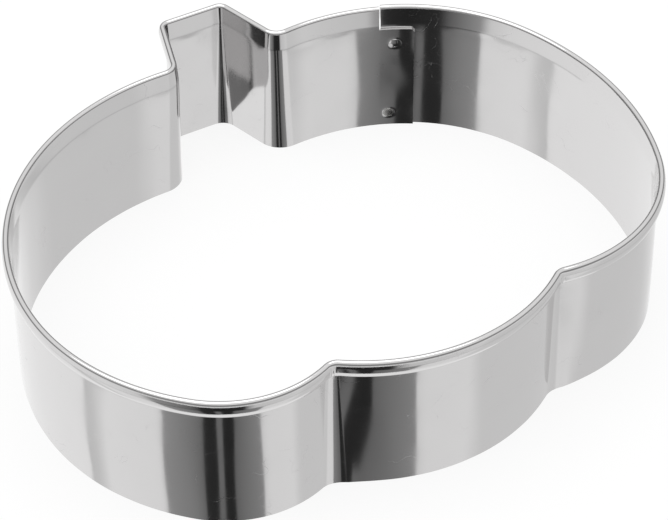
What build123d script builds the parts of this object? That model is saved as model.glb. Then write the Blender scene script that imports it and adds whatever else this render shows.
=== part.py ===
"""Pumpkin cookie cutter bent from one strip of polished stainless steel.

Millimetres, +Z up. The cutting edge stands on Z = 0 and the origin is under the middle of the outline.
"""
import os
from math import cos, degrees, radians, sin

from build123d import *

# Strip
SHEET = 0.4
WALL_HEIGHT = 25.0

# Rolled rim, folded outwards and down from the top of the wall, with its lip turned back to the wall
RIM_HEIGHT = 2.6
RIM_THICKNESS = 1.2
RIM_LIP_CHAMFER = 0.3
RIM_LIP_GAP = 0.05

# Lower lobe and its two notches, on the middle line of the sheet
NOTCH_SPACING = 39.3
LOWER_LOBE_DEPTH = 6.8
NOTCH_BEND_RADIUS = 0.6

# Right lobe, upwards from its notch
RIGHT_START_ANGLE = -12.3
RIGHT_LOW_RADIUS = 24.9
RIGHT_LOW_ANGLE = 79.2
RIGHT_SIDE_RADIUS = 49.4
RIGHT_SIDE_ANGLE = 46.6

# Left lobe, upwards from its notch
LEFT_START_ANGLE = -27.8
LEFT_LOW_RADIUS = 18.6
LEFT_LOW_ANGLE = 69.9
LEFT_SIDE_RADIUS = 37.0
LEFT_SIDE_ANGLE = 47.4

# Stem
STEM_BASE_DISTANCE = 72.5
STEM_LENGTH = 12.5
STEM_BASE_WIDTH = 18.3
STEM_TOP_WIDTH = 10.9
STEM_OFFSET = 1.7
STEM_BASE_BEND_RADIUS = 0.6
STEM_TOP_BEND_RADIUS = 0.9

# Lap seam on the right shoulder
SEAM_FROM_STEM = 18.0
SEAM_BUTT_GAP = 0.3
LAP_LENGTH = 5.8
LAP_CLEARANCE = 0.05
LAP_NOTCH_DEPTH = 4.3
LAP_CORNER_RADIUS = 0.6

# Spot welds through the lap
WELD_RADIUS = 0.9
WELD_DIMPLE = 0.1
UPPER_WELD_DEPTH = 7.3
UPPER_WELD_ALONG = 2.4
LOWER_WELD_HEIGHT = 2.6
LOWER_WELD_ALONG = 1.4

RIM_REACH = RIM_THICKNESS - SHEET / 2
LAP_STEP = SHEET + LAP_CLEARANCE


def side_lobe(side, start_angle, low_radius, low_angle, side_radius, side_angle):
    """Draws two arcs of one lobe from its notch and returns its last point and direction.

    side is 1 on the right and -1 on the left, where the same bends are mirrored.
    """
    heading = (side * cos(radians(start_angle)), sin(radians(start_angle)), 0)
    low = JernArc((side * NOTCH_SPACING / 2, 0), heading, low_radius, side * low_angle)
    belly = JernArc(low @ 1, low % 1, side_radius, side * side_angle)
    return belly @ 1, belly % 1


def stem_corner(side, width, height):
    """A sharp corner of the stem, before it is bent round."""
    return Vector(STEM_OFFSET + side * width / 2, height)


def nearest(vertices, point):
    """The vertex that lies at a drawn corner."""
    return vertices.sort_by_distance(point)[0]


base_right = stem_corner(1, STEM_BASE_WIDTH, STEM_BASE_DISTANCE)
base_left = stem_corner(-1, STEM_BASE_WIDTH, STEM_BASE_DISTANCE)
top_right = stem_corner(1, STEM_TOP_WIDTH, STEM_BASE_DISTANCE + STEM_LENGTH)
top_left = stem_corner(-1, STEM_TOP_WIDTH, STEM_BASE_DISTANCE + STEM_LENGTH)
notch_right = Vector(NOTCH_SPACING / 2, 0)
notch_left = Vector(-NOTCH_SPACING / 2, 0)

# Outline of the bent strip, closed by a short step across the seam
with BuildSketch() as blank:
    with BuildLine():
        ThreePointArc(notch_left, (0, -LOWER_LOBE_DEPTH), notch_right)
        right_end, right_heading = side_lobe(
            1, RIGHT_START_ANGLE, RIGHT_LOW_RADIUS, RIGHT_LOW_ANGLE, RIGHT_SIDE_RADIUS, RIGHT_SIDE_ANGLE
        )
        shoulder = TangentArc(right_end, base_right, tangent=right_heading, mode=Mode.PRIVATE)
        seam_at = 1 - SEAM_FROM_STEM / shoulder.length
        end_at = seam_at + SEAM_BUTT_GAP / shoulder.length
        inward = (shoulder.arc_center - shoulder @ end_at).normalized()
        seam_start = shoulder @ seam_at
        seam_end = (shoulder @ end_at) + inward * LAP_STEP
        TangentArc(right_end, seam_start, tangent=right_heading)
        Line(seam_start, seam_end)
        TangentArc(seam_end, base_right, tangent=shoulder % end_at)
        Polyline(base_right, top_right, top_left, base_left)
        left_end, left_heading = side_lobe(
            -1, LEFT_START_ANGLE, LEFT_LOW_RADIUS, LEFT_LOW_ANGLE, LEFT_SIDE_RADIUS, LEFT_SIDE_ANGLE
        )
        TangentArc(left_end, base_left, tangent=left_heading)
    make_face()
    for corner in (notch_left, notch_right):
        fillet(nearest(blank.vertices(), corner), NOTCH_BEND_RADIUS + RIM_REACH)
    for corner in (base_left, base_right):
        fillet(nearest(blank.vertices(), corner), STEM_BASE_BEND_RADIUS + RIM_REACH)
    for corner in (top_left, top_right):
        fillet(nearest(blank.vertices(), corner), STEM_TOP_BEND_RADIUS + SHEET / 2)

# Path of the sheet's middle line from one end of the rim to the other, about the origin
centre = blank.face().bounding_box().center()
to_origin = Pos(-centre.X, -centre.Y)
strip_edges = blank.edges().sort_by_distance((seam_start + seam_end) / 2)[1:]
strip_path = to_origin * Wire(strip_edges)
lap_radius = shoulder.radius - LAP_STEP
with BuildLine() as lap_line:
    JernArc(
        Vector(to_origin * Vertex(seam_end)),
        -(shoulder % end_at),
        lap_radius,
        -degrees((SEAM_BUTT_GAP + LAP_LENGTH) / lap_radius),
    )
lap_path = lap_line.edge()


def upright(path, at, lift=0):
    """The plane across the path: its X points out of the cutter and its Y is up."""
    place = path @ at
    along = path % at
    outward = Vector(along.Y, -along.X, 0)
    if outward.dot(place) < 0:
        outward = -outward
    return Plane(origin=place + Vector(0, 0, lift), x_dir=outward, z_dir=outward.cross(Vector(0, 0, 1)))


def weld_plane(along, height):
    """The plane through the middle of both sheets of the lap, its Z pointing out of the cutter."""
    across = upright(lap_path, (SEAM_BUTT_GAP + along) / lap_path.length, height)
    middle = across.origin + across.x_dir * LAP_STEP / 2
    return Plane(origin=middle, x_dir=across.z_dir, z_dir=across.x_dir)


weld_half = (LAP_STEP + SHEET) / 2
welds = (
    weld_plane(UPPER_WELD_ALONG, WALL_HEIGHT - UPPER_WELD_DEPTH),
    weld_plane(LOWER_WELD_ALONG, LOWER_WELD_HEIGHT),
)

# The strip: wall and rolled rim, then the lap with its rim notched away
fold_inside = RIM_THICKNESS / 2 - SHEET
fold_height = WALL_HEIGHT - RIM_THICKNESS / 2
fold_roof = fold_height + fold_inside
leg_inside = SHEET / 2 + 2 * fold_inside
lip_end = SHEET / 2 + RIM_LIP_GAP
lip_bottom = WALL_HEIGHT - RIM_HEIGHT
lip_top = lip_bottom + SHEET
lap_height = WALL_HEIGHT - LAP_NOTCH_DEPTH

with BuildPart() as cutter_strip:
    with BuildSketch(upright(strip_path, 0)):
        with BuildLine():
            Polyline(
                (-SHEET / 2, fold_height),
                (-SHEET / 2, 0),
                (SHEET / 2, 0),
                (SHEET / 2, fold_roof),
                (leg_inside, fold_roof),
                (leg_inside, lip_top),
                (lip_end, lip_top),
                (lip_end, lip_bottom),
                (RIM_REACH - RIM_LIP_CHAMFER, lip_bottom),
                (RIM_REACH, lip_bottom + RIM_LIP_CHAMFER),
                (RIM_REACH, fold_height),
            )
            RadiusArc((RIM_REACH, fold_height), (-SHEET / 2, fold_height), -RIM_THICKNESS / 2)
        make_face()
    sweep(path=strip_path)
    with BuildSketch(upright(lap_path, 0)):
        with Locations((0, lap_height / 2)):
            Rectangle(SHEET, lap_height)
    sweep(path=lap_path)
    lap_corner = (lap_path @ 1) + Vector(0, 0, lap_height)
    fillet(cutter_strip.edges().sort_by_distance(lap_corner)[0], LAP_CORNER_RADIUS)
    for plane in welds:
        with BuildSketch(plane):
            Circle(WELD_RADIUS)
        extrude(amount=weld_half + SHEET, both=True, mode=Mode.SUBTRACT)
cutter_strip.part.label = "cutter_strip"

# Weld metal joining the lap to the wall behind it, dished by the electrodes on both sides
with BuildPart() as spot_welds:
    for plane in welds:
        with BuildSketch(Plane(origin=plane.origin, x_dir=plane.x_dir, z_dir=-plane.y_dir)):
            with BuildLine():
                Polyline(
                    (0, WELD_DIMPLE - weld_half),
                    (WELD_RADIUS, -weld_half),
                    (WELD_RADIUS, weld_half),
                    (0, weld_half - WELD_DIMPLE),
                    close=True,
                )
            make_face()
        revolve(axis=Axis(plane.origin, plane.z_dir))
spot_welds.part.label = "spot_welds"

for piece in (cutter_strip, spot_welds):
    print(piece.part.label, len(piece.solids()), "solids", round(piece.part.volume, 2), "mm3", piece.part.is_valid)
box = cutter_strip.part.bounding_box()
print("overall", box.size, "from", box.min)

os.makedirs("parts", exist_ok=True)
export_step(cutter_strip.part, "parts/cutter_strip.step")
export_step(spot_welds.part, "parts/spot_welds.step")
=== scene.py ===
"""A pumpkin cookie cutter bent from one strip of polished stainless steel.

The drawing sizes are millimetres, as on a maker's drawing, and Blender's objects are metres.
"""
import logging
from dataclasses import dataclass, field
from enum import Enum
from math import asin, atan2, ceil, cos, degrees, hypot, pi, radians, sin, sqrt, tan
from typing import Any, Sequence

import bmesh
import bpy
import numpy as np
from mathutils import Matrix, Vector


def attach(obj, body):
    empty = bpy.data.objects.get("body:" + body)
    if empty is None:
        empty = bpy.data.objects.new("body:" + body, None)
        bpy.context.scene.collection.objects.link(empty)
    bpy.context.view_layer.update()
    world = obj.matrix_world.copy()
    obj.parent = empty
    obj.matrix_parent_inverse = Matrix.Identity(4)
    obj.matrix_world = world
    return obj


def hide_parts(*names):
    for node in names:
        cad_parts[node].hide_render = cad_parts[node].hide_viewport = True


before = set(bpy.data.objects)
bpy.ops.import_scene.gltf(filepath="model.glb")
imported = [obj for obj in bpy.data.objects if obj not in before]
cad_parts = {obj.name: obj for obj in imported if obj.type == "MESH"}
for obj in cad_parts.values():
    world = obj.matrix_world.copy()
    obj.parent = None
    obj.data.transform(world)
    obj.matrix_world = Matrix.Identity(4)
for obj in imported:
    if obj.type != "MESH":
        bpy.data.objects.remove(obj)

LOG = logging.getLogger("cookie_cutter")
MM = 0.001
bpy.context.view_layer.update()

# Rows across the strip: steps round the rim's three arcs, then millimetres between the wall's rows
FOLD_STEPS = 12
BEAD_STEPS = 10
CURL_STEPS = 5
WALL_ROW = 0.9
FINE_ROW = 0.26
FINE_REACH = 1.3
ROW_MERGE = 0.6
# Stations along the strip: millimetres apart, millimetres apart where it is lapped, and degrees of bend
STATION_STEP = 0.9
STATION_FINE = 0.3
STATION_TURN = 2.5
# Newton's steps that place a rounded corner
CORNER_ROUNDS = 30
CORNER_STEP = 1e-6
# Edges sharper than this many degrees are cut edges
CUT_EDGE = 50
# A profile row belongs to the straight wall if its normal points inwards at least this squarely
WALL_NORMAL = -0.999
# Waves left in the sheet: share of the whole, millimetres along, millimetres up, and phase
WAVES = ((0.5, 17.0, 60.0, 0.4), (0.3, 9.3, -41.0, 2.1), (0.2, 5.1, 33.0, 4.0))


class Face(Enum):
    """The two faces of the sheet."""

    INNER = -1
    OUTER = 1


class Level(Enum):
    """The two levels that the outline is drawn at, by their place in the bends' pairs of radii."""

    RIM = 0
    CUTTING_EDGE = 1


def srgb(hex_colour: str) -> tuple[float, float, float, float]:
    """Turns an sRGB hex colour into linear colour with full alpha.

    Args:
        hex_colour: Six hex digits after a hash.

    Returns:
        The linear red, green, blue and alpha.
    """
    parts = [int(hex_colour[k : k + 2], 16) / 255 for k in (1, 3, 5)]
    linear = [c / 12.92 if c <= 0.04045 else ((c + 0.055) / 1.055) ** 2.4 for c in parts]
    return linear[0], linear[1], linear[2], 1.0


def smooth_step(value: np.ndarray) -> np.ndarray:
    """Eases 0 to 1 and holds outside it."""
    t = np.clip(value, 0.0, 1.0)
    return t * t * (3 - 2 * t)


def add_node(
    tree: Any, kind: str, settings: dict[Any, Any] | None = None, links: dict[Any, Any] | None = None
) -> Any:
    """Adds one node with its settings and links.

    Args:
        tree: The node tree.
        kind: Blender's node type.
        settings: Node properties by name, and socket values by index or by "in:" and the socket's name.
        links: Input socket name or index to the output socket that feeds it.

    Returns:
        The new node.
    """
    node = tree.nodes.new(kind)
    for key, value in (settings or {}).items():
        if isinstance(key, int):
            node.inputs[key].default_value = value
        elif key.startswith("in:"):
            node.inputs[key[3:]].default_value = value
        else:
            setattr(node, key, value)
    for key, source in (links or {}).items():
        tree.links.new(source, node.inputs[key])
    return node


def new_material(name: str) -> tuple[bpy.types.Material, Any]:
    """Starts a material with an empty node tree.

    Args:
        name: The material's name.

    Returns:
        The material and its tree.
    """
    material = bpy.data.materials.new(name)
    material.use_nodes = True
    material.node_tree.nodes.clear()
    return material, material.node_tree


def add_object(name: str, data: Any) -> bpy.types.Object:
    """Puts a mesh, camera or lamp into the scene.

    Args:
        name: The object's name.
        data: The mesh, camera or lamp.

    Returns:
        The object.
    """
    item = bpy.data.objects.new(name, data)
    bpy.context.scene.collection.objects.link(item)
    return item


@dataclass(frozen=True)
class Bend:
    """One line or arc of the outline, in millimetres.

    A line has no radius. An arc turns left for a positive sweep and right for a negative one.
    """

    start: complex
    heading: float
    length: float
    radius: float = 0.0
    sweep: float = 0.0

    def direction(self, t: float) -> float:
        """The heading at the share t of the length, in radians."""
        return self.heading + self.sweep * t

    def point(self, t: float) -> complex:
        """Finds a point of the bend.

        Args:
            t: The share of the length.

        Returns:
            The point, with Y as its imaginary part.
        """
        if not self.radius:
            return self.start + t * self.length * complex(cos(self.heading), sin(self.heading))
        side = 1 if self.sweep > 0 else -1
        centre = self.start + side * self.radius * left_of(self.heading)
        return centre - side * self.radius * left_of(self.direction(t))

    def cut(self, low: float, high: float) -> "Bend":
        """The stretch of this bend between two shares of its length."""
        part = high - low
        return Bend(self.point(low), self.direction(low), self.length * part, self.radius, self.sweep * part)

    def reverse(self) -> "Bend":
        """The same stretch, travelled backwards."""
        return Bend(self.point(1), self.direction(1) + pi, self.length, self.radius, -self.sweep)

    def mirror(self) -> "Bend":
        """The same stretch on the other side of the Y axis."""
        return Bend(-self.start.conjugate(), pi - self.heading, self.length, self.radius, -self.sweep)


def left_of(heading: float) -> complex:
    """The unit vector to the left of a heading."""
    return complex(-sin(heading), cos(heading))


def straight(start: complex, end: complex) -> Bend:
    """A straight stretch between two points."""
    way = end - start
    return Bend(start, atan2(way.imag, way.real), abs(way))


def arc(start: complex, heading: float, radius: float, turn: float) -> Bend:
    """An arc from its start, heading, radius and turn in radians."""
    return Bend(start, heading, radius * abs(turn), radius, turn)


def arc_to(start: complex, heading: float, end: complex) -> Bend:
    """The arc that leaves one point at a heading and meets another.

    Args:
        start: The point it leaves.
        heading: Its heading there, in radians.
        end: The point it meets.

    Returns:
        The arc.
    """
    way = end - start
    lean = (atan2(way.imag, way.real) - heading + pi) % (2 * pi) - pi
    radius = abs(way) / (2 * abs(sin(lean)))
    return arc(start, heading, radius, 2 * lean)


def round_corner(first: Bend, second: Bend, radius: float) -> list[Bend]:
    """Rounds the corner where two bends meet.

    Args:
        first: The bend that ends at the corner.
        second: The bend that starts there.
        radius: The corner's radius on the middle of the sheet.

    Returns:
        The shortened first bend, the corner's arc and the shortened second bend.
    """
    turn = (second.direction(0) - first.direction(1) + pi) % (2 * pi) - pi
    side = 1 if turn > 0 else -1

    def gap(ends: np.ndarray) -> np.ndarray:
        """How far apart the corner's centre lies, measured from each bend.

        Args:
            ends: Where the first bend ends and the second starts, as shares of their lengths.

        Returns:
            The gap in X and Y.
        """
        a, b = ends
        one = first.point(a) + side * radius * left_of(first.direction(a))
        two = second.point(b) + side * radius * left_of(second.direction(b))
        return np.array([(one - two).real, (one - two).imag])

    ends = np.array([1.0, 0.0])
    for _ in range(CORNER_ROUNDS):
        miss = gap(ends)
        slope = np.array([(gap(ends + d) - miss) / CORNER_STEP for d in np.eye(2) * CORNER_STEP]).T
        ends = ends - np.linalg.solve(slope, miss)
    a, b = float(ends[0]), float(ends[1])
    corner_turn = (second.direction(b) - first.direction(a) + pi) % (2 * pi) - pi
    return [first.cut(0, a), arc(first.point(a), first.direction(a), radius, corner_turn), second.cut(b, 1)]


@dataclass(frozen=True)
class Lobe:
    """One side lobe: the angle it leaves its notch at, then its lower and side bends."""

    start_angle: float
    low_radius: float
    low_turn: float
    side_radius: float
    side_turn: float

    def bends(self, notch: complex, base: complex) -> list[Bend]:
        """The lobe's three arcs from a notch on the right to the stem's base.

        Args:
            notch: The notch's corner.
            base: The corner at the stem's base.

        Returns:
            The low, side and shoulder arcs in order.
        """
        low = arc(notch, radians(self.start_angle), self.low_radius, radians(self.low_turn))
        side = arc(low.point(1), low.direction(1), self.side_radius, radians(self.side_turn))
        return [low, side, arc_to(side.point(1), side.direction(1), base)]


@dataclass
class Drawing:
    """The maker's drawing of the cutter, in millimetres, on the middle of the sheet.

    The bends' radii are pairs: under the rim, and at the cutting edge, where the sheet springs wider.
    """

    sheet: float = 0.4
    height: float = 25.0
    rim_height: float = 3.0
    rim_thickness: float = 1.2
    rim_curl: float = 0.1
    rim_lip_gap: float = 0.05
    bead_upper_lean: float = 20.0
    bead_lower_lean: float = 25.0
    notch_spacing: float = 39.3
    lower_lobe_depth: float = 6.8
    notch_bend: tuple[float, float] = (2.4, 5.0)
    right: Lobe = Lobe(-12.3, 24.9, 79.2, 49.4, 46.6)
    left: Lobe = Lobe(-27.8, 18.6, 69.9, 37.0, 47.4)
    stem_distance: float = 72.5
    stem_length: float = 12.5
    stem_base: float = 18.3
    stem_top: float = 10.9
    stem_offset: float = 1.7
    stem_base_bend: tuple[float, float] = (2.8, 4.2)
    stem_top_bend: tuple[float, float] = (1.2, 3.0)
    seam_from_stem: float = 19.8
    seam_gap: float = 0.3
    lap_length: float = 5.8
    lap_clearance: float = 0.05
    lap_notch_depth: float = 4.3
    lap_corner: float = 0.6
    weld_radius: float = 0.9
    weld_dimple: float = 0.1
    welds: tuple[tuple[float, float], ...] = ((2.4, 17.7), (1.4, 2.6))

    @property
    def reach(self) -> float:
        """How far the rim stands out from the middle of the sheet."""
        return self.rim_thickness - self.sheet / 2

    @property
    def lap_step(self) -> float:
        """How far the lap lies inside the wall behind it."""
        return self.sheet + self.lap_clearance

    @property
    def lap_height(self) -> float:
        """The height of the lap, below its notched-away rim."""
        return self.height - self.lap_notch_depth

    def outline(self, level: Level) -> tuple[list[Bend], Bend]:
        """The strip's path, counter-clockwise from the lapped end to the end behind it.

        Args:
            level: The level that it is drawn at.

        Returns:
            The bends of the strip, and the lap as one bend that ends where the strip starts.
        """
        half = self.notch_spacing / 2
        notch = complex(half, 0)
        corner = {
            (side, part): complex(self.stem_offset + side * width / 2, self.stem_distance + rise)
            for side in (-1, 1)
            for part, width, rise in (("base", self.stem_base, 0.0), ("top", self.stem_top, self.stem_length))
        }
        low, side, shoulder = self.right.bends(notch, corner[1, "base"])
        left = self.left.bends(notch, -corner[-1, "base"].conjugate())
        seam = 1 - self.seam_from_stem / shoulder.length
        end = seam + self.seam_gap / shoulder.length
        lap_start = shoulder.point(end) + self.lap_step * left_of(shoulder.direction(end))
        lap_radius = shoulder.radius - self.lap_step
        lap_turn = (self.seam_gap + self.lap_length) / lap_radius
        lap = arc(lap_start, shoulder.direction(end) + pi, lap_radius, -lap_turn).reverse()

        lobe_radius = (half**2 + self.lower_lobe_depth**2) / (2 * self.lower_lobe_depth)
        lobe_half = asin(half / lobe_radius)
        sides = [
            arc_to(lap_start, shoulder.direction(end), corner[1, "base"]),
            straight(corner[1, "base"], corner[1, "top"]),
            straight(corner[1, "top"], corner[-1, "top"]),
            straight(corner[-1, "top"], corner[-1, "base"]),
            *[bend.mirror().reverse() for bend in reversed(left)],
            arc(-notch.conjugate(), -lobe_half, lobe_radius, 2 * lobe_half),
            low,
            side,
            shoulder.cut(0, seam),
        ]
        base, top, nick = (
            pair[level.value] for pair in (self.stem_base_bend, self.stem_top_bend, self.notch_bend)
        )
        # The corner's radius after a bend, by the bend's number
        radii = {0: base, 1: top, 2: top, 3: base, 6: nick, 7: nick}
        path = [sides[0]]
        for k, following in enumerate(sides[1:]):
            if k in radii:
                path[-1:] = round_corner(path[-1], following, radii[k])
            else:
                path.append(following)
        return path, lap

    def bead_radii(self) -> tuple[float, float]:
        """Works out the rim's two outer radii from its height and thickness.

        Returns:
            The radius over its top and the radius down its side.
        """
        upper, lower = radians(self.bead_upper_lean), radians(self.bead_lower_lean)
        span, bulge = sin(upper) + sin(lower), 1 - cos(upper)
        tall = self.rim_height - (self.rim_curl + self.sheet) * (1 - sin(lower))
        fold = (self.rim_thickness - bulge * tall / span) / (1 + cos(upper) - bulge * (1 - sin(upper)) / span)
        return fold, (tall - fold * (1 - sin(upper))) / span

    def profile(self, fine_heights: Sequence[float]) -> np.ndarray:
        """The middle of the sheet across the strip, from the cutting edge over the rim to its lip.

        Args:
            fine_heights: Heights on the wall that need close rows, such as the welds.

        Returns:
            Rows of offset outwards, height, and the outward side's normal in the same two axes.
        """
        half, top, curl = self.sheet / 2, self.height, self.rim_curl + self.sheet
        upper, lower = radians(self.bead_upper_lean), radians(self.bead_lower_lean)
        fold, bead = self.bead_radii()
        bead_x, bead_z = self.reach - bead, top - fold - (bead - fold) * sin(upper)
        curl_x, curl_z = bead_x + (bead - curl) * cos(lower), bead_z - (bead - curl) * sin(lower)
        rows = [(0.0, z, -1.0, 0.0) for z in wall_heights(top - fold, self.lap_height, fine_heights)]
        arcs = (
            (fold - half, top - fold, fold, pi, upper, FOLD_STEPS),
            (bead_x, bead_z, bead, upper, -lower, BEAD_STEPS),
            (curl_x, curl_z, curl, -lower, -pi / 2, CURL_STEPS),
        )
        for x, z, radius, start, end, steps in arcs:
            for k in range(1, steps + 1):
                a = start + (end - start) * k / steps
                rows.append((x + (radius - half) * cos(a), z + (radius - half) * sin(a), cos(a), sin(a)))
        if curl_x > half + self.rim_lip_gap:
            rows.append((half + self.rim_lip_gap, curl_z - curl + half, 0.0, -1.0))
        return np.array(rows)


def wall_heights(top: float, lap_height: float, fine: Sequence[float]) -> list[float]:
    """Row heights up the wall, close together round the places that need it.

    Args:
        top: The top of the straight wall.
        lap_height: A height that gets a row of its own.
        fine: Heights that get close rows round them.

    Returns:
        The heights from 0 to the top.
    """
    heights = {0.0, round(top, 4), round(lap_height, 4)}
    heights |= {round(k * top / ceil(top / WALL_ROW), 4) for k in range(ceil(top / WALL_ROW) + 1)}
    steps = round(FINE_REACH / FINE_ROW)
    for middle in fine:
        heights |= {round(middle + k * FINE_ROW, 4) for k in range(-steps, steps + 1)}
    ordered: list[float] = []
    for z in sorted(h for h in heights if 0 <= h <= top):
        fixed = z in (0.0, round(top, 4), round(lap_height, 4))
        if not ordered or z - ordered[-1] > FINE_ROW * ROW_MERGE:
            ordered.append(z)
        elif fixed:
            ordered[-1] = z
    return ordered


@dataclass
class Stations:
    """Places along the strip: distance, middle of the sheet and outward normal, in millimetres.

    Places and normals hold two levels: under the rim, and at the cutting edge.
    """

    along: np.ndarray
    place: np.ndarray
    outward: np.ndarray

    @staticmethod
    def along_path(
        bends: Sequence[tuple[Bend, Bend]], start: float, fine: Sequence[tuple[float, float]]
    ) -> "Stations":
        """Samples a path closely enough for smooth reflections.

        Args:
            bends: The bends in order, counter-clockwise round the cutter, each at both levels.
            start: The distance at the first point.
            fine: Stretches of distance, from and to, that need close stations.

        Returns:
            The stations.
        """
        along: list[float] = []
        place: list[list[complex]] = []
        heading: list[list[float]] = []
        base = start
        for number, (bend, foot) in enumerate(bends):
            last = number == len(bends) - 1
            close = any(low < base + bend.length and base < high for low, high in fine)
            step = STATION_FINE if close else STATION_STEP
            count = max(2, ceil(bend.length / step), ceil(degrees(abs(bend.sweep)) / STATION_TURN))
            for k in range(count + (1 if last else 0)):
                along.append(base + bend.length * k / count)
                place.append([level.point(k / count) for level in (bend, foot)])
                heading.append([level.direction(k / count) for level in (bend, foot)])
            base += bend.length
        xy = np.array([[(p.real, p.imag) for p in levels] for levels in place])
        normal = np.array([[(sin(h), -cos(h)) for h in levels] for levels in heading])
        return Stations(np.array(along), xy, normal)


def grid_faces(first: np.ndarray, second: np.ndarray, flip: bool) -> list[tuple[int, ...]]:
    """Four-sided faces between two rows of vertex numbers."""
    faces = zip(first[:-1], first[1:], second[1:], second[:-1])
    return [tuple(int(v) for v in (face[::-1] if flip else face)) for face in faces]


@dataclass
class CutterStrip:
    """The bent strip with its rolled rim and its lap.

    The lengths are millimetres and the crease's lean is degrees.
    """

    drawing: Drawing
    waviness: float = 0.02
    wave_end_below_rim: float = 1.6
    wave_fade: float = 1.2
    crease_lean: float = 4.5
    crease_width: float = 0.12
    crease_below_top: float = 3.3
    crease_root: float = 3.0
    notch_flare: float = 0.45
    notch_flare_rise: float = 1.2
    notch_flare_reach: float = 3.0
    wrinkle: float = 0.07
    wrinkle_pitch: float = 1.7
    wrinkle_reach: float = 3.2
    lap_bulge: float = 0.11
    lap_bulge_middle: float = 10.2
    lap_bulge_half: float = 7.4
    lap_corner_reach: float = 3.0
    dimple_sink: float = 0.03
    dimple_flat: float = 0.55
    dimple_fade: float = 0.75
    edge_bevel: float = 0.05
    centre: complex = 0j
    path: list[Bend] = field(default_factory=list)
    stations: Stations | None = None
    notch_along: tuple[float, float] = (0.0, 0.0)
    length: float = 0.0
    lap_count: int = 0

    def lay_out(self) -> None:
        """Draws the path about the origin and places the stations."""
        d = self.drawing
        self.path, lap = d.outline(Level.RIM)
        foot, foot_lap = d.outline(Level.CUTTING_EDGE)
        self.length = sum(bend.length for bend in self.path)
        ends = np.cumsum([bend.length for bend in self.path])
        middle = d.stem_distance / 2
        notches = [k for k, bend in enumerate(self.path) if bend.sweep < 0 and bend.start.imag < middle]
        self.notch_along = tuple(float(ends[k] - self.path[k].length / 2) for k in notches)
        lap_stations = Stations.along_path([(lap, foot_lap)], -lap.length, [(-lap.length, 0.0)])
        last = self.path[-1].length
        split = 1 - (d.lap_length + 2 * d.weld_radius) / last
        pairs = list(zip(self.path, foot))
        pairs[-1:] = [
            (self.path[-1].cut(low, high), foot[-1].cut(low, high)) for low, high in ((0, split), (split, 1))
        ]
        strip = Stations.along_path(pairs, 0.0, [(self.length - (1 - split) * last, self.length)])
        self.lap_count = len(lap_stations.along) - 1
        place = np.concatenate([lap_stations.place[:-1], strip.place])
        low, high = strip.place[:, 0].min(0), strip.place[:, 0].max(0)
        self.centre = complex(*(low + high) / 2)
        along = np.concatenate([lap_stations.along[:-1], strip.along])
        outward = np.concatenate([lap_stations.outward[:-1], strip.outward])
        self.stations = Stations(along, place - [self.centre.real, self.centre.imag], outward)

    def place_at(self, along: float, offset: float = 0.0) -> tuple[np.ndarray, np.ndarray]:
        """The point and the outward normal at a distance along the strip.

        Args:
            along: Millimetres from the rim's butt, counter-clockwise, or negative on the lap.
            offset: Millimetres outwards from the middle of the sheet.

        Returns:
            The point and the normal in plan.
        """
        s = self.stations
        place = np.array([np.interp(along, s.along, s.place[:, 0, k]) for k in (0, 1)])
        normal = np.array([np.interp(along, s.along, s.outward[:, 0, k]) for k in (0, 1)])
        normal /= hypot(*normal)
        return place + normal * offset, normal

    def unevenness(self, along: np.ndarray, z: np.ndarray) -> np.ndarray:
        """How far the wall strays outwards.

        It has slight waves, leans back to the rim above its crease and springs out past the notches.

        Args:
            along: Distances along the strip.
            z: Heights.

        Returns:
            The offset at each place.
        """
        d = self.drawing
        wall = 1 - smooth_step((z - (d.height - d.rim_height - self.wave_end_below_rim)) / self.wave_fade)
        waves = sum(
            share * np.sin(2 * pi * (along / pitch + z / rise) + phase) for share, pitch, rise, phase in WAVES
        )
        crease = d.height - self.crease_below_top
        lean = tan(radians(self.crease_lean))
        depth = lean * (d.height - d.bead_radii()[0] - crease)
        draw_in = depth * smooth_step((z - self.crease_root) / (crease - self.crease_root))
        lean_back = lean * self.crease_width * np.log1p(np.exp((z - crease) / self.crease_width))
        spread = self.flare(along) * np.clip(1 - z / crease, 0, 1)
        return self.waviness * waves * wall - draw_in + lean_back + spread

    def flare(self, along: np.ndarray) -> np.ndarray:
        """How far the cutting edge springs out past each notch, counter-clockwise of it.

        Args:
            along: Distances along the strip.

        Returns:
            The offset at each distance.
        """
        total = np.zeros_like(along)
        for notch in self.notch_along:
            away = along - notch
            rise = smooth_step((away + self.notch_flare_rise) / (2 * self.notch_flare_rise))
            total += rise * np.exp(-np.maximum(away - self.notch_flare_rise, 0) / self.notch_flare_reach)
        return self.notch_flare * total

    def wrinkles(self, along: np.ndarray) -> np.ndarray:
        """The crowded ripples of the rim's leg inside the notches.

        Args:
            along: Distances along the strip.

        Returns:
            The offset at each distance, which is inwards.
        """
        total = np.zeros_like(along)
        for notch in self.notch_along:
            away = along - notch
            total += np.exp(-((away / self.wrinkle_reach) ** 2)) * np.sin(2 * pi * away / self.wrinkle_pitch)
        return -self.wrinkle * np.abs(total)

    def dimples(self, along: np.ndarray, z: np.ndarray, lapped: bool) -> np.ndarray:
        """The depth pressed by the welding electrodes.

        Args:
            along: Distances along the strip.
            z: Heights.
            lapped: Whether the places are on the lap.

        Returns:
            The depth at each place, positive into the sheet.
        """
        d = self.drawing
        depth = np.zeros(np.broadcast(along, z).shape)
        for where, height in d.welds:
            middle = -d.seam_gap - where if lapped else self.length - where
            away = np.hypot(along - middle, z - height) / d.weld_radius
            pressed = 1 - smooth_step((away - self.dimple_flat) / self.dimple_fade)
            depth += (d.weld_dimple + self.dimple_sink) * pressed
        return depth

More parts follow.
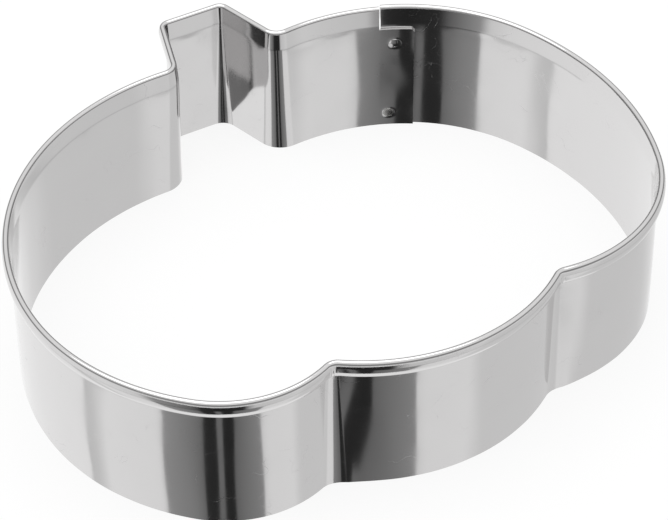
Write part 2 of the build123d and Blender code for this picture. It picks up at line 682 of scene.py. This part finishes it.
    def cross_section(self) -> tuple[np.ndarray, int]:
        """Draws the profile with close rows at the welds and the crease.

        Returns:
            The profile's rows, and the number of the row at the top of the lap.
        """
        d = self.drawing
        rows = d.profile([height for _, height in d.welds] + [d.height - self.crease_below_top])
        from_lap = np.where(rows[:, 0] > 0, np.inf, np.abs(rows[:, 1] - d.lap_height))
        return rows, int(np.argmin(from_lap))

    def bend_section(self, i: int, used: np.ndarray) -> dict[Face, np.ndarray]:
        """Sets the profile up at one station.

        Args:
            i: The station's number.
            used: The profile's rows that the strip has there.

        Returns:
            The points of both faces of the sheet, in millimetres.
        """
        d, s = self.drawing, self.stations
        lapped = i < self.lap_count
        along = np.full(len(used), s.along[i])
        on_wall = used[:, 2] < WALL_NORMAL
        z = self.lap_top(s.along[i], used[:, 1]) if lapped else used[:, 1]
        stray = np.where(on_wall, self.unevenness(along, z), 0.0)
        if lapped:
            stray = stray - self.swell(s.along[i], z)
        leg = ~on_wall & (z < d.height - d.rim_thickness)
        stray = stray + np.where(leg, self.wrinkles(along), 0.0)
        foot = np.clip(1 - z / (d.height - self.crease_below_top), 0, 1)[:, None]
        place = (1 - foot) * s.place[i, 0] + foot * s.place[i, 1]
        outward = (1 - foot) * s.outward[i, 0] + foot * s.outward[i, 1]
        outward /= np.linalg.norm(outward, axis=1)[:, None]
        points = {}
        for face in (Face.INNER, Face.OUTER):
            # The profile's normal points to the side that is inside on the wall and outside on the rim's bead
            away = -face.value * d.sheet / 2
            out = used[:, 0] + stray + away * used[:, 2]
            if lapped and face is Face.INNER:
                out = out + self.dimples(along, z, True)
            if not lapped and face is Face.OUTER:
                out = out - np.where(on_wall, self.dimples(along, z, False), 0.0)
            points[face] = np.column_stack([place + out[:, None] * outward, z + away * used[:, 3]])
        return points

    def build(self) -> bpy.types.Object:
        """Builds the strip as one closed mesh.

        Returns:
            The strip's object.
        """
        rows, lap_row = self.cross_section()
        vertices: list[np.ndarray] = []
        numbers: dict[Face, list[np.ndarray]] = {Face.INNER: [], Face.OUTER: []}
        count = 0
        for i in range(len(self.stations.along)):
            used = rows[: lap_row + 1] if i < self.lap_count else rows
            for face, points in self.bend_section(i, used).items():
                vertices.append(points)
                numbers[face].append(np.arange(count, count + len(points)))
                count += len(points)
        mesh = bpy.data.meshes.new("cutter_strip_polished")
        mesh.from_pydata((np.vstack(vertices) * MM).tolist(), [], self.skin(numbers, lap_row))
        strip = add_object("polished_strip", mesh)
        self.unroll(mesh, [len(station) for station in numbers[Face.INNER]])
        finish_mesh(strip, self.edge_bevel)
        self.dress(strip)
        return strip

    def dress(self, strip: bpy.types.Object) -> None:
        """Gives the strip its bright-rolled steel."""
        strip.data.materials.append(PolishedStainless().make())

    def swell(self, along: float, z: np.ndarray) -> np.ndarray:
        """How far the lap bulges into the cutter between its welds.

        Args:
            along: The distance along the strip.
            z: Heights.

        Returns:
            The bulge at each height.
        """
        d = self.drawing
        across = sin(pi * min(1.0, max(0.0, -along / (d.lap_length + d.seam_gap))))
        up = np.clip((z - self.lap_bulge_middle) / self.lap_bulge_half, -1, 1)
        return self.lap_bulge * across * np.cos(pi / 2 * up) ** 2

    def lap_top(self, along: float, z: np.ndarray) -> np.ndarray:
        """Draws the lap's rows down where its corner is rounded.

        Args:
            along: The distance along the strip.
            z: The rows' heights.

        Returns:
            The heights with the corner's drop shared among the rows near it.
        """
        d = self.drawing
        end = along + d.lap_length + d.seam_gap
        radius = d.lap_corner
        drop = radius - sqrt(max(0.0, radius**2 - max(0.0, radius - end) ** 2)) if end < radius else 0.0
        shared = self.lap_corner_reach * radius
        knee = d.lap_height - shared
        return np.where(z > knee, knee + (z - knee) * (shared - drop) / shared, z)

    def skin(self, numbers: dict[Face, list[np.ndarray]], lap_row: int) -> list[tuple[int, ...]]:
        """Joins the rows of both faces of the sheet into one closed skin.

        Args:
            numbers: Vertex numbers of each station's rows, by face.
            lap_row: The row at the top of the lap.

        Returns:
            The faces.
        """
        inner, outer = numbers[Face.INNER], numbers[Face.OUTER]
        faces: list[tuple[int, ...]] = []
        for i in range(len(inner) - 1):
            rows = min(len(inner[i]), len(inner[i + 1]))
            faces += grid_faces(inner[i][:rows], inner[i + 1][:rows], False)
            faces += grid_faces(outer[i][:rows], outer[i + 1][:rows], True)
            for row, flip in ((0, False), (rows - 1, True)):
                edge = (outer[i][row], inner[i][row], inner[i + 1][row], outer[i + 1][row])
                faces.append(tuple(int(v) for v in (edge[::-1] if flip else edge)))
        start, full = self.lap_count, len(inner) - 1
        faces += grid_faces(outer[0], inner[0], False)
        faces += grid_faces(outer[start][lap_row:], inner[start][lap_row:], False)
        faces += grid_faces(outer[full], inner[full], True)
        return faces

    def unroll(self, mesh: bpy.types.Mesh, sizes: list[int]) -> None:
        """Gives the mesh a flat map of the strip: millimetres along it and millimetres up it.

        Args:
            mesh: The strip's mesh.
            sizes: How many rows each station has on each face.
        """
        corners = np.empty(len(mesh.loops), np.int32)
        mesh.loops.foreach_get("vertex_index", corners)
        co = np.empty(len(mesh.vertices) * 3, np.float32)
        mesh.vertices.foreach_get("co", co)
        co = co.reshape(-1, 3) / MM
        along = np.repeat(self.stations.along, np.multiply(sizes, 2))
        layer = mesh.uv_layers.new(name="strip_mm")
        flat = np.column_stack([along[corners], co[corners, 2]]).astype(np.float32)
        layer.data.foreach_set("uv", flat.ravel())


def finish_mesh(piece: bpy.types.Object, bevel: float) -> None:
    """Shades a mesh smoothly, turns its faces outwards and eases its cut edges.

    Args:
        piece: The object.
        bevel: The eased edge's width in millimetres.
    """
    mesh = piece.data
    edit = bmesh.new()
    edit.from_mesh(mesh)
    bmesh.ops.recalc_face_normals(edit, faces=edit.faces)
    edit.to_mesh(mesh)
    edit.free()
    mesh.polygons.foreach_set("use_smooth", [True] * len(mesh.polygons))
    eased = piece.modifiers.new("eased_edges", "BEVEL")
    eased.width = bevel * MM
    eased.segments = 2
    eased.limit_method = "ANGLE"
    eased.angle_limit = radians(CUT_EDGE)
    eased.harden_normals = True


@dataclass
class SpotWelds:
    """The weld metal of the lap, dished by the electrodes on both sides."""

    drawing: Drawing
    strip: CutterStrip
    rings: int = 8
    sides: int = 40
    bevel: float = 0.0225

    def build(self) -> bpy.types.Object:
        """Builds the welds as closed discs that fill the lap.

        Returns:
            One object that holds every weld.
        """
        d = self.drawing
        half = (d.lap_step + d.sheet) / 2
        edit = bmesh.new()
        for where, height in d.welds:
            middle, normal = self.strip.place_at(-d.seam_gap - where, d.lap_step / 2)
            outward = Vector((normal[0], normal[1], 0))
            across = Vector((-normal[1], normal[0], 0))
            origin = Vector((middle[0], middle[1], height))
            loops = []
            for side in (-1, 1):
                for ring in range(self.rings, 0, -1) if side > 0 else range(1, self.rings + 1):
                    radius = d.weld_radius * ring / self.rings
                    depth = half - d.weld_dimple * (1 - (ring / self.rings) ** 2)
                    loops.append(self.ring(edit, origin + outward * side * depth, across, radius))
            for one, two in zip(loops, loops[1:]):
                for k in range(self.sides):
                    n = (k + 1) % self.sides
                    edit.faces.new((one[k], one[n], two[n], two[k]))
            for loop in (loops[0], loops[-1]):
                edit.faces.new(loop)
        mesh = bpy.data.meshes.new("weld_metal")
        edit.to_mesh(mesh)
        edit.free()
        mesh.transform(Matrix.Scale(MM, 4))
        welds = add_object("weld_nuggets", mesh)
        finish_mesh(welds, self.bevel)
        self.dress(welds)
        return welds

    def dress(self, welds: bpy.types.Object) -> None:
        """Gives the welds their frosted metal."""
        welds.data.materials.append(WeldMetal().make())

    def ring(self, edit: bmesh.types.BMesh, middle: Vector, across: Vector, radius: float) -> list[Any]:
        """Adds one ring of vertices round a weld's axis.

        Args:
            edit: The mesh that takes them.
            middle: The ring's middle.
            across: The level direction in the ring's plane.
            radius: The ring's radius.

        Returns:
            The vertices in order.
        """
        turns = [2 * pi * k / self.sides for k in range(self.sides)]
        spokes = [cos(a) * across + sin(a) * Vector((0, 0, 1)) for a in turns]
        return [edit.verts.new(middle + radius * spoke) for spoke in spokes]


@dataclass(frozen=True)
class PolishedStainless:
    """Stainless steel strip, rolled bright and left as it came off the mill, then lightly handled.

    The bright-rolled face mirrors its surroundings sharply, with a faint haze that lifts the darkest
    reflections, cloudy patches where it was handled and hairline scratches.
    """

    name: str = "Stainless_steel_bright_rolled"
    colour: str = "#D9D8D8"
    roughness: float = 0.075
    haze: float = 0.05
    cloud_mm: float = 7.0
    cloud_detail: float = 3.0
    cloud_breakup: float = 0.55
    cloud_range: tuple[float, float] = (0.3, 0.7)
    scratch_mm: float = 5.0
    scratch_detail: float = 1.5
    scratch_wander: float = 0.6
    scratch_width: float = 0.006
    scratch_patches: tuple[float, float] = (0.5, 0.62)
    scratch_roughness: float = 0.25
    scratch_depth: float = 0.6
    rolling_mm: float = 0.35
    rolling_detail: float = 2.0
    rolling_stretch: float = 50.0
    bump: float = 0.05
    bump_mm: float = 0.02

    def make(self) -> bpy.types.Material:
        """Builds the material.

        Returns:
            The material.
        """
        material, tree = new_material(self.name)
        flat = add_node(tree, "ShaderNodeUVMap", {"uv_map": "strip_mm"})
        clouds = add_node(
            tree,
            "ShaderNodeTexNoise",
            {
                "in:Scale": 1 / self.cloud_mm,
                "in:Detail": self.cloud_detail,
                "in:Roughness": self.cloud_breakup,
            },
            {"Vector": flat.outputs["UV"]},
        )
        # Hairlines are the places where a slow noise crosses its middle, drawn a tenth of a millimetre
        # wide so that they show
        hair = add_node(
            tree,
            "ShaderNodeTexNoise",
            {
                "in:Scale": 1 / self.scratch_mm,
                "in:Detail": self.scratch_detail,
                "in:Distortion": self.scratch_wander,
            },
            {"Vector": flat.outputs["UV"]},
        )
        off = add_node(tree, "ShaderNodeMath", {"operation": "SUBTRACT", 1: 0.5}, {0: hair.outputs["Fac"]})
        near = add_node(tree, "ShaderNodeMath", {"operation": "ABSOLUTE"}, {0: off.outputs[0]})
        line = add_node(
            tree,
            "ShaderNodeMapRange",
            {"in:From Min": 0.0, "in:From Max": self.scratch_width, "in:To Min": 1.0, "in:To Max": 0.0},
            {"Value": near.outputs[0]},
        )
        patch = add_node(
            tree,
            "ShaderNodeMapRange",
            {
                "in:From Min": self.scratch_patches[0],
                "in:From Max": self.scratch_patches[1],
                "in:To Min": 0.0,
                "in:To Max": 1.0,
            },
            {"Value": clouds.outputs["Fac"]},
        )
        marks = add_node(
            tree,
            "ShaderNodeMath",
            {"operation": "MULTIPLY"},
            {0: line.outputs["Result"], 1: patch.outputs["Result"]},
        )
        # Rolling lines run along the strip, drawn several times wider than the mill leaves them
        along = add_node(
            tree,
            "ShaderNodeMapping",
            {"in:Scale": (1 / self.rolling_stretch, 1.0, 1.0)},
            {"Vector": flat.outputs["UV"]},
        )
        lines = add_node(
            tree,
            "ShaderNodeTexNoise",
            {"in:Scale": 1 / self.rolling_mm, "in:Detail": self.rolling_detail},
            {"Vector": along.outputs["Vector"]},
        )
        rough = add_node(
            tree,
            "ShaderNodeMapRange",
            {
                "in:From Min": self.cloud_range[0],
                "in:From Max": self.cloud_range[1],
                "in:To Min": self.roughness,
                "in:To Max": self.roughness + self.haze,
            },
            {"Value": clouds.outputs["Fac"]},
        )
        worn = add_node(
            tree,
            "ShaderNodeMath",
            {"operation": "MULTIPLY_ADD", 1: self.scratch_roughness},
            {0: marks.outputs[0], 2: rough.outputs[0]},
        )
        height = add_node(
            tree,
            "ShaderNodeMath",
            {"operation": "MULTIPLY_ADD", 1: -self.scratch_depth},
            {0: marks.outputs[0], 2: lines.outputs[0]},
        )
        bump = add_node(
            tree,
            "ShaderNodeBump",
            {"in:Strength": self.bump, "in:Distance": self.bump_mm * MM},
            {"Height": height.outputs[0]},
        )
        shader = add_node(
            tree,
            "ShaderNodeBsdfPrincipled",
            {"in:Base Color": srgb(self.colour), "in:Metallic": 1.0},
            {"Roughness": worn.outputs[0], "Normal": bump.outputs["Normal"]},
        )
        add_node(tree, "ShaderNodeOutputMaterial", links={"Surface": shader.outputs[0]})
        return material


@dataclass(frozen=True)
class WeldMetal:
    """Resistance-weld metal: the same steel, frosted and slightly darkened where the electrodes pressed."""

    name: str = "Stainless_steel_spot_welded"
    colour: str = "#B4B3B1"
    roughness: float = 0.2
    spread: float = 0.15
    grain_mm: float = 0.25
    grain_detail: float = 3.0
    bump: float = 0.3
    bump_mm: float = 0.03

    def make(self) -> bpy.types.Material:
        """Builds the material.

        Returns:
            The material.
        """
        material, tree = new_material(self.name)
        place = add_node(tree, "ShaderNodeTexCoord")
        grain = add_node(
            tree,
            "ShaderNodeTexNoise",
            {"in:Scale": 1 / (self.grain_mm * MM), "in:Detail": self.grain_detail},
            {"Vector": place.outputs["Object"]},
        )
        rough = add_node(
            tree,
            "ShaderNodeMapRange",
            {"in:To Min": self.roughness, "in:To Max": self.roughness + self.spread},
            {"Value": grain.outputs["Fac"]},
        )
        bump = add_node(
            tree,
            "ShaderNodeBump",
            {"in:Strength": self.bump, "in:Distance": self.bump_mm * MM},
            {"Height": grain.outputs["Fac"]},
        )
        shader = add_node(
            tree,
            "ShaderNodeBsdfPrincipled",
            {"in:Base Color": srgb(self.colour), "in:Metallic": 1.0},
            {"Roughness": rough.outputs[0], "Normal": bump.outputs["Normal"]},
        )
        add_node(tree, "ShaderNodeOutputMaterial", links={"Surface": shader.outputs[0]})
        return material


@dataclass(frozen=True)
class RoomPaint:
    """Wall paint in even daylight, so that each place shows the very shade it was painted."""

    name: str = "Room_paint"
    shades: str = "paint"

    def make(self) -> bpy.types.Material:
        """Builds the material.

        Returns:
            The material.
        """
        material, tree = new_material(self.name)
        shade = add_node(tree, "ShaderNodeAttribute", {"attribute_name": self.shades})
        glow = add_node(tree, "ShaderNodeEmission", {"in:Strength": 1.0}, {"Color": shade.outputs["Color"]})
        add_node(tree, "ShaderNodeOutputMaterial", links={"Surface": glow.outputs[0]})
        return material


@dataclass(frozen=True)
class OpalAcrylic:
    """Opal acrylic sheet lit from below, with enough of its matt white left for a soft shadow."""

    name: str = "Opal_acrylic_table"
    colour: str = "#FFFFFF"
    glow: float = 0.86

    def make(self) -> bpy.types.Material:
        """Builds the material.

        Returns:
            The material.
        """
        material, tree = new_material(self.name)
        matt = add_node(tree, "ShaderNodeBsdfDiffuse", {"in:Color": srgb(self.colour)})
        glow = add_node(tree, "ShaderNodeEmission", {"in:Color": srgb("#FFFFFF"), "in:Strength": 1.0})
        both = add_node(tree, "ShaderNodeMixShader", {0: self.glow}, {1: matt.outputs[0], 2: glow.outputs[0]})
        add_node(tree, "ShaderNodeOutputMaterial", links={"Surface": both.outputs[0]})
        return material


@dataclass(frozen=True)
class CameraRig:
    """The camera, placed by what it looks at. Lengths are millimetres and angles degrees."""

    target: tuple[float, float, float] = (-1.09, -8.45, 12.5)
    turn: float = 29.28
    pitch: float = 41.53
    distance: float = 406.7
    lens: float = 138.6
    sensor: float = 36.0
    roll: float = -0.49

    def direction(self) -> Vector:
        """Works out the way the camera looks.

        Returns:
            The unit vector from the camera to its target.
        """
        level = cos(radians(self.pitch))
        turn = radians(self.turn)
        return Vector((sin(turn) * level, cos(turn) * level, -sin(radians(self.pitch))))

    def position(self) -> Vector:
        """The camera's place in millimetres."""
        return Vector(self.target) - self.direction() * self.distance

    def build(self) -> bpy.types.Object:
        """Makes the camera and looks through it.

        Returns:
            The camera.
        """
        data = bpy.data.cameras.new("studio_camera")
        data.lens = self.lens
        data.sensor_width = self.sensor
        camera = add_object("studio_camera", data)
        ahead = self.direction()
        right = ahead.cross(Vector((0, 0, 1))).normalized()
        up = right.cross(ahead)
        frame_axes = Matrix((right, up, -ahead)).transposed().to_4x4()
        spin = Matrix.Rotation(radians(self.roll), 4, "Z")
        camera.matrix_world = Matrix.Translation(self.position() * MM) @ frame_axes @ spin
        bpy.context.scene.camera = camera
        return camera


@dataclass(frozen=True)
class RoomWall:
    """The painted wall of the room round the table, which only the steel's mirror sees.

    The stops are compass angles in degrees with a shade each. The angles are counted from the side of
    the room behind the camera and grow to the camera's right, and the paint blends from stop to stop.
    Low down the wall shows the floor's paint, near the horizon the waist of the room, and between them
    the narrow belt of its skirting.
    """

    name: str
    floor: tuple[tuple[float, str], ...]
    belt: tuple[tuple[float, str], ...]
    waist: tuple[tuple[float, str], ...]
    floor_rows: tuple[float, float] = (-60.0, -36.8)
    belt_rows: tuple[float, float] = (-36.2, -34.6)
    waist_rows: tuple[float, float] = (-34.0, -14.0)
    radius: float = 1200.0
    step: float = 4.0

    def build(self, behind: float) -> bpy.types.Object:
        """Builds the wall as one painted band of a globe.

        Args:
            behind: The compass angle of the camera from the table, in radians.

        Returns:
            The wall.
        """
        low, high = self.floor[0][0], self.floor[-1][0]
        bands = ((self.floor_rows, self.floor), (self.belt_rows, self.belt), (self.waist_rows, self.waist))
        rows = [(rise, stops) for rises, stops in bands for rise in rises]
        even = list(np.arange(low, high, self.step))
        angles = sorted({*even, *(a for _, stops in bands for a, _ in stops if low <= a <= high)})
        points, paint = [], []
        for rise, stops in rows:
            shades = np.interp(angles, [a for a, _ in stops], [srgb(shade)[0] for _, shade in stops])
            for angle, shade in zip(angles, shades):
                turn = behind + radians(angle)
                across = cos(radians(rise))
                way = Vector((cos(turn) * across, sin(turn) * across, sin(radians(rise))))
                points.append(way * self.radius * MM)
                paint.append((float(shade), float(shade), float(shade), 1.0))
        wide = len(angles)
        corners = [row * wide + k for row in range(len(rows) - 1) for k in range(wide - 1)]
        mesh = bpy.data.meshes.new(self.name)
        mesh.from_pydata(points, [], [(k, k + 1, k + 1 + wide, k + wide) for k in corners])
        coat = RoomPaint()
        layer = mesh.color_attributes.new(coat.shades, "FLOAT_COLOR", "POINT")
        layer.data.foreach_set("color", np.array(paint, np.float32).ravel())
        wall = add_object(self.name, mesh)
        mesh.materials.append(coat.make())
        wall.visible_camera = False
        wall.visible_diffuse = False
        wall.visible_shadow = False
        wall.visible_transmission = False
        return wall


ROOM = RoomWall(
    "room_wall",
    floor=(
        (-100.0, "#FFFFFF"), (-87.2, "#FFFFFF"), (-86.6, "#C6C6C6"), (-85.6, "#D8D8D8"),
        (-82.0, "#DEDEDE"), (-74.0, "#FAFAFA"), (-47.0, "#F6F6F6"), (-44.5, "#E4E4E4"),
        (-44.0, "#9E9E9E"), (-32.0, "#8C8C8C"), (-21.0, "#747474"), (-20.3, "#303030"),
        (-9.2, "#2C2C2C"), (-8.7, "#7A7A7A"), (-4.0, "#767676"), (-3.4, "#2C2C2C"),
        (5.8, "#2A2A2A"), (6.5, "#707070"), (19.0, "#868686"), (30.0, "#949494"),
        (31.0, "#EAEAEA"), (36.0, "#F2F2F2"), (60.0, "#F4F4F4"), (69.0, "#E2E2E2"),
        (126.0, "#E0E0E0"), (150.0, "#EEEEEE"), (168.0, "#FFFFFF"),
    ),
    belt=(
        (-100.0, "#DCDCDC"), (-60.0, "#D0D0D0"), (-47.0, "#C0C0C0"), (-43.0, "#6A6A6A"),
        (-20.0, "#303030"), (14.5, "#303030"), (19.0, "#8A8A8A"), (31.0, "#B0B0B0"),
        (44.0, "#C4C4C4"), (120.0, "#C8C8C8"), (168.0, "#E8E8E8"),
    ),
    waist=(
        (-100.0, "#FCFCFC"), (-60.0, "#F4F4F4"), (-48.0, "#E6E6E6"), (-42.0, "#A0A0A0"),
        (-24.0, "#6A6A6A"), (-18.0, "#303030"), (0.0, "#282828"), (14.5, "#323232"),
        (17.5, "#A4A4A4"), (23.0, "#DADADA"), (58.0, "#EAEAEA"), (66.0, "#E0E0E0"),
        (126.0, "#E2E2E2"), (168.0, "#FAFAFA"),
    ),
)


@dataclass
class Studio:
    """The white table, the room round it with its darker side behind the camera, and the lamp above.

    The lengths are millimetres. The horizon's stops are heights of the sky's globe, from 0 at the bottom
    to 1 on top, with a shade each.
    """

    camera: CameraRig
    table_width: float = 3000.0
    horizon: tuple[tuple[float, str], ...] = (
        (0.38, "#FFFFFF"), (0.46, "#8E8E8E"), (0.62, "#8E8E8E"), (0.75, "#F4F4F4"),
    )
    lamp_size: tuple[float, float] = (900.0, 600.0)
    lamp_place: tuple[float, float, float] = (-100.0, 150.0, 800.0)
    lamp_watts: float = 2.2

    def build(self) -> None:
        """Builds the table, the room and the lamp."""
        self.table()
        self.room()
        ahead = self.camera.direction()
        ROOM.build(atan2(-ahead.y, -ahead.x))
        self.lamp()

    def table(self) -> None:
        """The white table, mostly lit from within so that only a soft shadow stays."""
        half = self.table_width / 2 * MM
        mesh = bpy.data.meshes.new("white_table")
        corners = [(-half, -half, 0), (half, -half, 0), (half, half, 0), (-half, half, 0)]
        mesh.from_pydata(corners, [], [(0, 1, 2, 3)])
        table = add_object("white_table", mesh)
        mesh.materials.append(OpalAcrylic().make())
        table.visible_glossy = False

    def room(self) -> None:
        """The room: white to the camera, and to the steel white above and below a grey horizon."""
        world = bpy.data.worlds.new("studio_room")
        bpy.context.scene.world = world
        world.use_nodes = True
        tree = world.node_tree
        tree.nodes.clear()
        way = add_node(tree, "ShaderNodeTexCoord")
        axes = add_node(tree, "ShaderNodeSeparateXYZ", links={0: way.outputs["Generated"]})
        # The height runs from -1 to 1, and the ramp from 0 to 1
        rise = add_node(
            tree, "ShaderNodeMath", {"operation": "MULTIPLY_ADD", 1: 0.5, 2: 0.5}, {0: axes.outputs["Z"]}
        )
        ramp = add_node(tree, "ShaderNodeValToRGB", links={0: rise.outputs[0]})
        stops = ramp.color_ramp
        stops.elements[0].position, stops.elements[0].color = 0.0, srgb("#FFFFFF")
        stops.elements[1].position, stops.elements[1].color = 1.0, srgb("#FFFFFF")
        for position, shade in self.horizon:
            stops.elements.new(position).color = srgb(shade)
        sight = add_node(tree, "ShaderNodeLightPath")
        seen = add_node(
            tree,
            "ShaderNodeMixRGB",
            {2: srgb("#FFFFFF")},
            {0: sight.outputs["Is Camera Ray"], 1: ramp.outputs[0]},
        )
        back = add_node(tree, "ShaderNodeBackground", {"in:Strength": 1.0}, {0: seen.outputs[0]})
        add_node(tree, "ShaderNodeOutputWorld", links={0: back.outputs[0]})

    def lamp(self) -> None:
        """A wide soft lamp over the table."""
        data = bpy.data.lights.new("overhead_softbox", "AREA")
        data.shape = "RECTANGLE"
        data.size, data.size_y = (size * MM for size in self.lamp_size)
        data.energy = self.lamp_watts
        lamp = add_object("overhead_softbox", data)
        lamp.location = Vector(self.lamp_place) * MM


def main() -> None:
    """Builds the camera, the cutter and the studio, and reports each piece."""
    logging.basicConfig(level=logging.INFO, format="%(message)s")
    bpy.context.scene.view_settings.view_transform = "Standard"
    rig = CameraRig()
    rig.build()
    drawing = Drawing()
    strip = CutterStrip(drawing)
    strip.lay_out()
    polished = strip.build()
    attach(polished, "root")
    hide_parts("cutter_strip")
    LOG.info("strip: %.1f mm long, %d vertices", strip.length, len(polished.data.vertices))
    welds = SpotWelds(drawing, strip).build()
    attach(welds, "root")
    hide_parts("spot_welds")
    LOG.info("spot welds: %d", len(drawing.welds))
    Studio(rig).build()


if __name__ == "__main__":
    main()
